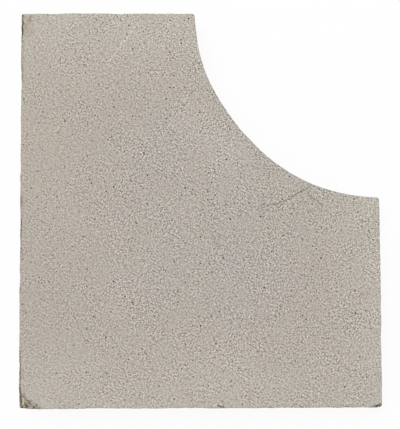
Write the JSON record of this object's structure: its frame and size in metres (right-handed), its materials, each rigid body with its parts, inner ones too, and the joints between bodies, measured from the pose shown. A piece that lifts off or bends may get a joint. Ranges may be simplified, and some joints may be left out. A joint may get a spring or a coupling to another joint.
{
  "type": "stove side brick",
  "caption": "Flat refractory brick that lines a side wall of a stove's firebox, with its upper front corner cut away in a concave sweep.",
  "frame": {"origin": "on the wall face, below the middle of the outline's box", "axes": "the brick lies flat on its wall face; as fitted, +X goes from the rear edge to the front edge, +Y from the foot to the top edge, and +Z from the wall face to the fire face"},
  "size_m": [0.2, 0.22, 0.025],
  "materials": {
    "brick": "matte"
  },
  "bodies": {
    "root": {"side_brick": "brick"}
  },
  "joints": []
}
